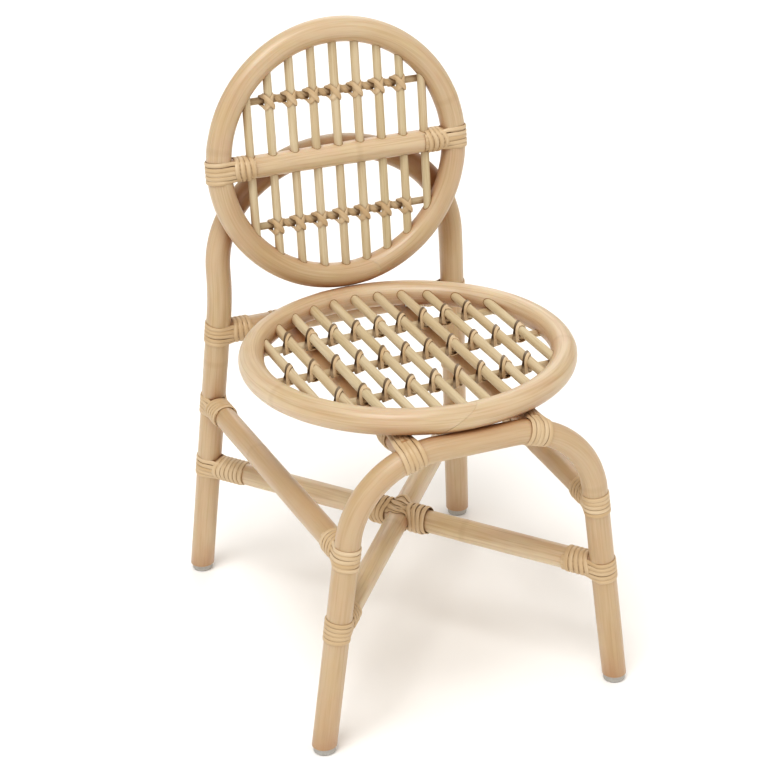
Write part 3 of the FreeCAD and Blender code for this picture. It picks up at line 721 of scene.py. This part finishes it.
def rattan_core_rod():
    # Round core drawn through a die: no lacquer, fine grooves along it and a drier, rougher face.
    made, tree, shader = new_material("rattan_core_rod")
    fibre = grain(tree, width=1.1, length=45.0)
    patch = grain(tree, width=9.0, length=90.0)
    tint = add(tree, "ShaderNodeAttribute", attribute_name="tint").outputs["Fac"]
    base = lay(tree, colour("#c8b894"), colour("#d8caad"), patch)
    base = lay(tree, base, colour("#a88b64"), fibre, 0.48, 0.78, most=0.5)
    base = lay(tree, base, colour("#bda27b"), tint, 0.0, 1.0, most=0.35)
    # Painted shade: warm brown within 11 mm of other surfaces, beside ties and sockets
    base = painted_shade(tree, base, colour("#8a582c"), reach=11.0, most=0.6)
    dress(tree, shader, base, fibre, smooth_end=0.5, rough_end=0.66, relief=0.1)
    shader.inputs["IOR"].default_value = 1.46
    return made


def rattan_peel_strip():
    # Split skin of the cane: smooth, hard and a little shiny, with cut edges that are darker and dull. Its
    # dark edge colour is partly that stain and partly painted shade of the gaps between strips, and on the
    # seat ties a painted shadow over part of the face.
    made, tree, shader = new_material("rattan_peel_strip")
    fibre = grain(tree, width=0.9, length=40.0)
    patch = grain(tree, width=6.0, length=50.0)
    edge = add(tree, "ShaderNodeAttribute", attribute_name="stain_and_shade").outputs["Fac"]
    tint = add(tree, "ShaderNodeAttribute", attribute_name="tint").outputs["Fac"]
    base = lay(tree, colour("#cbb18c"), colour("#dac6a7"), patch)
    base = lay(tree, base, colour("#bd9f75"), tint, 0.0, 1.0, most=0.5)
    base = lay(tree, base, colour("#a07c4e"), fibre, 0.5, 0.8, most=0.35)
    # Dark edges: partly the cut edges' own stain, partly painted shade and painted shadow
    base = lay(tree, base, colour("#34200e"), edge, 0.86, 1.0)
    # Painted shade: brown within 6 mm of other surfaces, in the gaps under and between strips
    base = painted_shade(tree, base, colour("#7d5129"), reach=6.0, most=0.62)
    dress(tree, shader, base, fibre, smooth_end=0.34, rough_end=0.5, relief=0.05)
    shader.inputs["IOR"].default_value = 1.48
    return made


def painted_socket_shade():
    # Painted shade: a dark, faintly mottled ring standing in for the shadow in the gap round a slat at the
    # mouth of its drilled socket.
    made, tree, shader = new_material("painted_socket_gap_shade")
    gap_mottle = grain(tree, width=1.2, length=1.2)
    base = lay(tree, colour("#7c5833"), colour("#a58257"), gap_mottle)
    dress(tree, shader, base, gap_mottle, smooth_end=0.75, rough_end=0.95)
    return made


def moulded_plastic():
    # Injection-moulded polyethylene glide: milky grey, faintly grained, dull from wear on its rim.
    made, tree, shader = new_material("moulded_polyethylene")
    place = add(tree, "ShaderNodeTexCoord").outputs["Object"]
    speck = add(tree, "ShaderNodeTexNoise", {"Vector": place, "Scale": per_metre(1.4), "Detail": 2.0})
    base = lay(tree, colour("#a8a59f"), colour("#b6b4af"), speck.outputs["Fac"])
    dress(tree, shader, base, speck.outputs["Fac"], smooth_end=0.42, rough_end=0.58, relief=0.03)
    shader.inputs["IOR"].default_value = 1.51
    return made


def zinc_steel():
    # Zinc-plated screw: grey metal with a faint mottle in its shine.
    made, tree, shader = new_material("zinc_plated_steel")
    place = add(tree, "ShaderNodeTexCoord").outputs["Object"]
    mottle = add(tree, "ShaderNodeTexNoise", {"Vector": place, "Scale": per_metre(2.0), "Detail": 2.0})
    base = lay(tree, colour("#a9a9a6"), colour("#c9c8c2"), mottle.outputs["Fac"])
    dress(tree, shader, base, mottle.outputs["Fac"], smooth_end=0.28, rough_end=0.45)
    shader.inputs["Metallic"].default_value = 1.0
    return made


def beech_dowel():
    # Turned beech, raw: pale pinkish brown with short flecks.
    made, tree, shader = new_material("raw_beech")
    place = add(tree, "ShaderNodeTexCoord").outputs["Object"]
    fleck = add(tree, "ShaderNodeTexNoise", {"Vector": place, "Scale": per_metre(3.0), "Detail": 3.0})
    base = lay(tree, colour("#c9a27a"), colour("#dcbb94"), fleck.outputs["Fac"])
    dress(tree, shader, base, fleck.outputs["Fac"], smooth_end=0.58, rough_end=0.72)
    return made


POLE = peeled_rattan_pole()
CORE = rattan_core_rod()
PEEL = rattan_peel_strip()
SOCKET_SHADE = painted_socket_shade()
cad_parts["joint_screws"].data.materials[0] = zinc_steel()
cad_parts["cross_dowel"].data.materials[0] = beech_dowel()
PLASTIC = moulded_plastic()
for end in ("front", "rear"):
    for side in SIDES:
        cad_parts["%s_%s_foot_glide" % (end, side)].data.materials[0] = PLASTIC

# Poles
rear_path = even(rear_arch_path(), POLE_STEP)
front_path = even(front_arch_path(), POLE_STEP)
lowest = X * math.sin(SCARF_TURN) - BACK_UP * math.cos(SCARF_TURN)
foremost = X * -math.sin(SCARF_TURN) - Y * math.cos(SCARF_TURN)
back_path = ring_path(BACK_CENTRE, lowest, BACK_REAR.cross(lowest), BACK_RING_R)
seat_path = ring_path(SEAT_CENTRE, foremost, Z.cross(foremost), SEAT_RING_R)
surfaces = {}


def make_pole(node, points, radius, flat_way, **settings):
    skin = Skin()
    add_pole(skin, points, radius, flat_way, HONEY_AND_SHADE[node], **settings)
    skin.build("rattan_" + node, POLE, "rattan_pole", node)
    surfaces[node] = BVHTree.FromPolygons(skin.points, skin.faces)


make_pole("rear_arch", rear_path, POLE_R, Y, level=True)
make_pole("front_arch", front_path, FRONT_POLE_R, Y, level=True)
make_pole("back_ring", back_path, POLE_R, BACK_REAR, scarf=1 / math.tan(SCARF_ANGLE))
make_pole("seat_ring", seat_path, POLE_R, Z, scarf=1 / math.tan(SCARF_ANGLE))
rails = {}
for node in ("back_crossbar", "rear_seat_rail", "left_seat_rail", "right_seat_rail", "left_side_stretcher",
             "right_side_stretcher", "cross_stretcher", "rear_cross_half", "front_cross_half"):
    rails[node] = Bar(node)
    make_pole(node, even(rails[node].path(), POLE_STEP), rails[node].r, rails[node].side)

# Slats and rods
bars = {}


def make_core(node):
    bar = Bar(node)
    bars[node] = bar
    skin = Skin()
    add_pole(skin, even(bar.path(), BAR_STEP), bar.r, bar.side, draw.random(), sides=BAR_SIDES)
    skin.build("rattan_" + node, CORE, "rattan_core", node)


seat_slats = ["seat_slat_%d" % (i + 1) for i in range(SEAT_SLATS)]
seat_rods = [word + "_seat_rod" for word in ("front", "middle", "rear")]
halves = ("upper", "lower")
back_slats = {}
for half in halves:
    back_slats[half] = ["%s_back_slat_%d" % (half, i + 1) for i in range(BACK_SLATS)]
for node in seat_slats + seat_rods + [half + "_back_rod" for half in halves]:
    make_core(node)
for half in halves:
    for node in back_slats[half]:
        make_core(node)

# Lashings at the rails' ends
crossbar = Skin()
for end in ("start", "end"):
    lash(crossbar, back_path, POLE_R, rails["back_crossbar"], end, COIL_TURNS)
crossbar.build("peel_crossbar_lashings", PEEL, "rattan_peel", "crossbar_lashings")

rear_rail = Skin()
for end in ("start", "end"):
    lash(rear_rail, rear_path, POLE_R, rails["rear_seat_rail"], end, COIL_TURNS)
rear_rail.build("peel_rear_rail_lashings", PEEL, "rattan_peel", "rear_rail_lashings")

seat_rail = Skin()
rear_rail_path = even(rails["rear_seat_rail"].path(), POLE_STEP)
for side in SIDES:
    rail = rails[side + "_seat_rail"]
    ring_at = min(seat_path, key=lambda p: (p - rail.nearest(p)).length + FRONT_PULL * (p - SEAT_CENTRE).y)
    front_at, _ = meet(front_path, rail, rail.start)
    lash(seat_rail, front_path, FRONT_POLE_R, rail, nearer_end(rail, front_path), COIL_TURNS,
         ring_at.y - front_at.y + RING_CLEAR)
    lash(seat_rail, rear_rail_path, rails["rear_seat_rail"].r, rail, nearer_end(rail, rear_rail_path),
         COIL_TURNS)
seat_rail.build("peel_seat_rail_lashings", PEEL, "rattan_peel", "seat_rail_lashings")

side_stretcher = Skin()
for side in SIDES:
    rail = rails[side + "_side_stretcher"]
    lash(side_stretcher, rear_path, POLE_R, rail, nearer_end(rail, rear_path), SIDE_REAR_TURNS)
    lash(side_stretcher, front_path, FRONT_POLE_R, rail, nearer_end(rail, front_path), COIL_TURNS)
side_stretcher.build("peel_side_stretcher_lashings", PEEL, "rattan_peel", "side_stretcher_lashings")

cross = Skin()
whole = rails["cross_stretcher"]
for path, pole_r in ((rear_path, POLE_R), (front_path, FRONT_POLE_R)):
    lash(cross, path, pole_r, whole, nearer_end(whole, path), COIL_TURNS)
rear_half_rail, front_half_rail = rails["rear_cross_half"], rails["front_cross_half"]
lash(cross, rear_path, POLE_R, rear_half_rail, nearer_end(rear_half_rail, rear_path), HALF_REAR_TURNS)
lash(cross, front_path, FRONT_POLE_R, front_half_rail, nearer_end(front_half_rail, front_path),
     HALF_FRONT_TURNS)
add_crossing(cross, whole, rear_half_rail)
cross.build("peel_cross_stretcher_lashings", PEEL, "rattan_peel", "cross_stretcher_lashings")

# Ties of the seat's slats
seat_ties = Skin()
for rod_node in seat_rods:
    rod = bars[rod_node]
    skip = 0 if rod_node.startswith("middle") else 1
    for i, slat_node in enumerate(seat_slats[skip:len(seat_slats) - skip]):
        slat = bars[slat_node]
        slat_at = Vector((slat.start.x, rod.start.y, slat.start.z))
        rod_at = Vector((slat.start.x, rod.start.y, rod.start.z))
        slip = Y * draw.uniform(0, TIE_SLIP)
        add_tie(seat_ties, slat_at + slip, rod_at, Y, X, Z, slat.r, rod.r, draw.uniform(*TIE_LEAN),
                SEAT_TIE_WIDTH, TIE_SECTION_SHADED, lift=draw.uniform(*TIE_LIFT) * TIE_LOOSE,
                twist=draw.uniform(*TIE_TURN) * TIE_TWIST)
        if i % PAIR_EVERY == PAIR_FIRST:
            beside = Y * TIE_PAIR
            add_tie(seat_ties, slat_at - beside, rod_at - beside, Y, X, Z, slat.r, rod.r,
                    draw.uniform(*PAIR_LEAN), BACK_TIE_WIDTH, STRAP_SECTION, lift=PAIR_LIFT * TIE_LOOSE)
seat_ties.build("peel_seat_slat_ties", PEEL, "rattan_peel", "seat_slat_ties")

# Ties of the back's slats, and the strip that runs on along the rod between them
back_ties = Skin()
for half in halves:
    rod = bars[half + "_back_rod"]
    tied = back_slats[half][1:-1]
    places = []
    for slat_node in tied:
        slat = bars[slat_node]
        rod_at = Vector((slat.start.x, rod.start.y, rod.start.z))
        slat_at = slat.nearest(rod_at)
        places.append(rod_at)
        for k, lean in enumerate((1, -1)):
            add_tie(back_ties, slat_at, rod_at, BACK_UP, X, -BACK_REAR, slat.r, rod.r, lean,
                    BACK_TIE_WIDTH, STRAP_SECTION, lift=k * TIE_OVER * TIE_THICK, rise=TIE_RISE)
    step = (places[1] - places[0]).length
    points, normals = [], []
    for i in range((len(places) - 1) * WRAP_POINTS + 1):
        angle = 2 * math.pi * i / WRAP_POINTS
        normal = BACK_REAR * math.cos(angle) + BACK_UP * math.sin(angle)
        points.append(places[0] + X * (step * i / WRAP_POINTS) + normal * (rod.r + PEEL_CLEAR))
        normals.append(normal)
    add_strip(back_ties, points, normals, BACK_TIE_WIDTH, TIE_THICK)
back_ties.build("peel_back_slat_ties", PEEL, "rattan_peel", "back_slat_ties")


# Painted shade round the mouths of the drilled sockets
def add_rim(skin, bar, end, surface):
    """Thin dark ring of painted shade on a pole's surface round the mouth of a socket, with its foot below
    the surface.
    """
    inside = bar.start.lerp(bar.end, 0.5)
    way = (end - inside).normalized()
    up = way.cross(bar.side)
    sections = []
    for j in range(RIM_POINTS):
        angle = 2 * math.pi * j / RIM_POINTS
        out = bar.side * math.cos(angle) + up * math.sin(angle)
        section = []
        for r, lift in ((bar.r, -RIM_DEPTH), (bar.r + RIM_OUT, RIM_LIFT), (bar.r - RIM_IN, RIM_LIFT)):
            place, normal, _, _ = surface.ray_cast(inside + out * r, way)
            section.append(place + normal * lift)
        sections.append(section)
    skin.sweep(sections, sections, [[0.0] * 3] * RIM_POINTS, 0.0, loop=True)


def make_rims(name, nodes, poles):
    """Rims of painted shade where these bars enter these poles."""
    skin = Skin()
    for node in nodes:
        bar = bars[node]
        for end in (bar.start, bar.end):
            pole = min(poles, key=lambda p: surfaces[p].find_nearest(end)[3])
            add_rim(skin, bar, end, surfaces[pole])
    skin.build(name, SOCKET_SHADE, "rattan_pole")


make_rims("seat_socket_gap_shade", seat_slats + seat_rods, ["seat_ring"])
make_rims("back_socket_gap_shade", [n for half in halves for n in back_slats[half]],
          ["back_ring", "back_crossbar"])

# Floor and light, in metres and watts
FLOOR_HALF = 16.0
AIM = (0, 0, 0.3)
WORLD_LIGHT = 0.56
floor_mesh = bpy.data.meshes.new("floor")
floor_mesh.from_pydata([(-FLOOR_HALF, -FLOOR_HALF, 0), (FLOOR_HALF, -FLOOR_HALF, 0),
                        (FLOOR_HALF, FLOOR_HALF, 0), (-FLOOR_HALF, FLOOR_HALF, 0)], [], [(0, 1, 2, 3)])
floor = bpy.data.objects.new("floor", floor_mesh)
bpy.context.scene.collection.objects.link(floor)
paper, _, paper_shader = new_material("matt_paper")
paper_shader.inputs["Base Color"].default_value = colour("#fdfdfc")
paper_shader.inputs["Roughness"].default_value = 0.9
floor_mesh.materials.append(paper)


def add_softbox(name, place, size, power, tone):
    lamp = bpy.data.lights.new(name, "AREA")
    lamp.shape = "SQUARE"
    lamp.size = size
    lamp.energy = power
    lamp.color = colour(tone)[:3]
    made = bpy.data.objects.new(name, lamp)
    made.location = place
    made.rotation_euler = (Vector(AIM) - Vector(place)).to_track_quat("-Z", "Y").to_euler()
    bpy.context.scene.collection.objects.link(made)


add_softbox("key_softbox", (-3.2, -3.4, 10.2), 4.8, 570.0, "#ffffff")
add_softbox("front_softbox", (-1.3, -3.6, 1.7), 2.0, 9.0, "#ffffff")
add_softbox("fill_softbox", (2.8, -1.5, 3.0), 2.6, 12.0, "#fff1e2")
add_softbox("back_softbox", (1.8, 4.2, 3.2), 3.2, 40.0, "#ffffff")
world = bpy.data.worlds.new("studio")
world.use_nodes = True
world.node_tree.nodes["Background"].inputs["Color"].default_value = colour("#fffaf4")
world.node_tree.nodes["Background"].inputs["Strength"].default_value = WORLD_LIGHT
bpy.context.scene.world = world
bpy.context.scene.view_settings.view_transform = "Standard"
bpy.context.scene.view_settings.look = "Medium High Contrast"

# Camera matched to the photo, an image of 768 by 768 pixels
IMAGE = 768
FOCAL_PIXELS = 2200.0
CAMERA_PLACE = Vector((-700.2, -1752.0, 1146.3))
SENSOR = 36.0
CLIP_END = 60.0           # in metres, past the floor's far edge
YAW, PITCH, ROLL = (math.radians(a) for a in (-21.5, -25.1, -1.5))
ahead = Vector((-math.sin(YAW) * math.cos(PITCH), math.cos(YAW) * math.cos(PITCH), math.sin(PITCH)))
level_right = Vector((math.cos(YAW), math.sin(YAW), 0))
level_up = level_right.cross(ahead)
right = level_right * math.cos(ROLL) + level_up * math.sin(ROLL)
upward = level_up * math.cos(ROLL) - level_right * math.sin(ROLL)
lens = bpy.data.cameras.new("photo_camera")
lens.sensor_width = SENSOR
lens.lens = FOCAL_PIXELS / IMAGE * SENSOR
lens.clip_end = CLIP_END
camera = bpy.data.objects.new("photo_camera", lens)
turned = Matrix((right, upward, -ahead)).transposed().to_4x4()
camera.matrix_world = Matrix.Translation(CAMERA_PLACE * MM) @ turned
bpy.context.scene.collection.objects.link(camera)
bpy.context.scene.camera = camera
